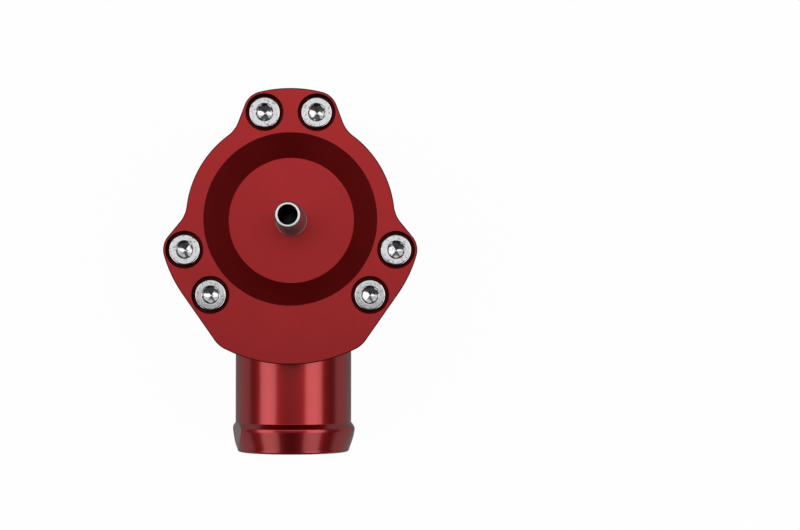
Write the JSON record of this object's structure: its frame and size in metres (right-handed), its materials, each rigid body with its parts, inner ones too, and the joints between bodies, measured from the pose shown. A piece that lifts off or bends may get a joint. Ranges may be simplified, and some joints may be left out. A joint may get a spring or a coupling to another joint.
{
  "type": "blow off valve",
  "caption": "Piston blow off valve: lobed housing with a dished, screwed-on cap, side outlet with a hose bead, central vacuum nipple, sprung piston and long screws that stand out of its base.",
  "frame": {"origin": "centre of the inlet on the base face, on the valve axis", "axes": "+Z along the valve axis, out of the cap; -Y out of the outlet; +X to the right seen from above"},
  "size_m": [0.068, 0.099, 0.0752],
  "materials": {
    "anodised_housing": "satin red anodise on a fine blasted surface",
    "anodised_turned": "red anodise on a fine turned surface",
    "bright_steel": "bright stainless steel",
    "piston_metal": "turned, clear anodised",
    "spring_wire": "drawn wire",
    "seal_rubber": "matt moulded rubber",
    "guide_plastic": "plain bearing plastic"
  },
  "bodies": {
    "housing": {"valve_body": "anodised_housing", "cap": "anodised_housing", "outlet_tube": "anodised_turned", "outlet_o_ring": "seal_rubber", "vacuum_nipple": "bright_steel", "spring": "spring_wire", "spring_shim": "spring_wire", "cap_o_ring": "seal_rubber", "base_o_ring": "seal_rubber", "cap_screws": "bright_steel", "mount_screws": "bright_steel"},
    "piston": {"piston": "piston_metal", "piston_o_ring": "seal_rubber", "piston_guide_ring": "guide_plastic", "seat_seal": "seal_rubber"}
  },
  "joints": [
    {"name": "piston_lift", "type": "slide", "parent": "housing", "child": "piston", "axis": [0, 0, 1], "range_m": [0, 0.0085], "stiffness_N_per_m": 1500, "springref_m": -0.008, "deforming": ["spring"]}
  ]
}
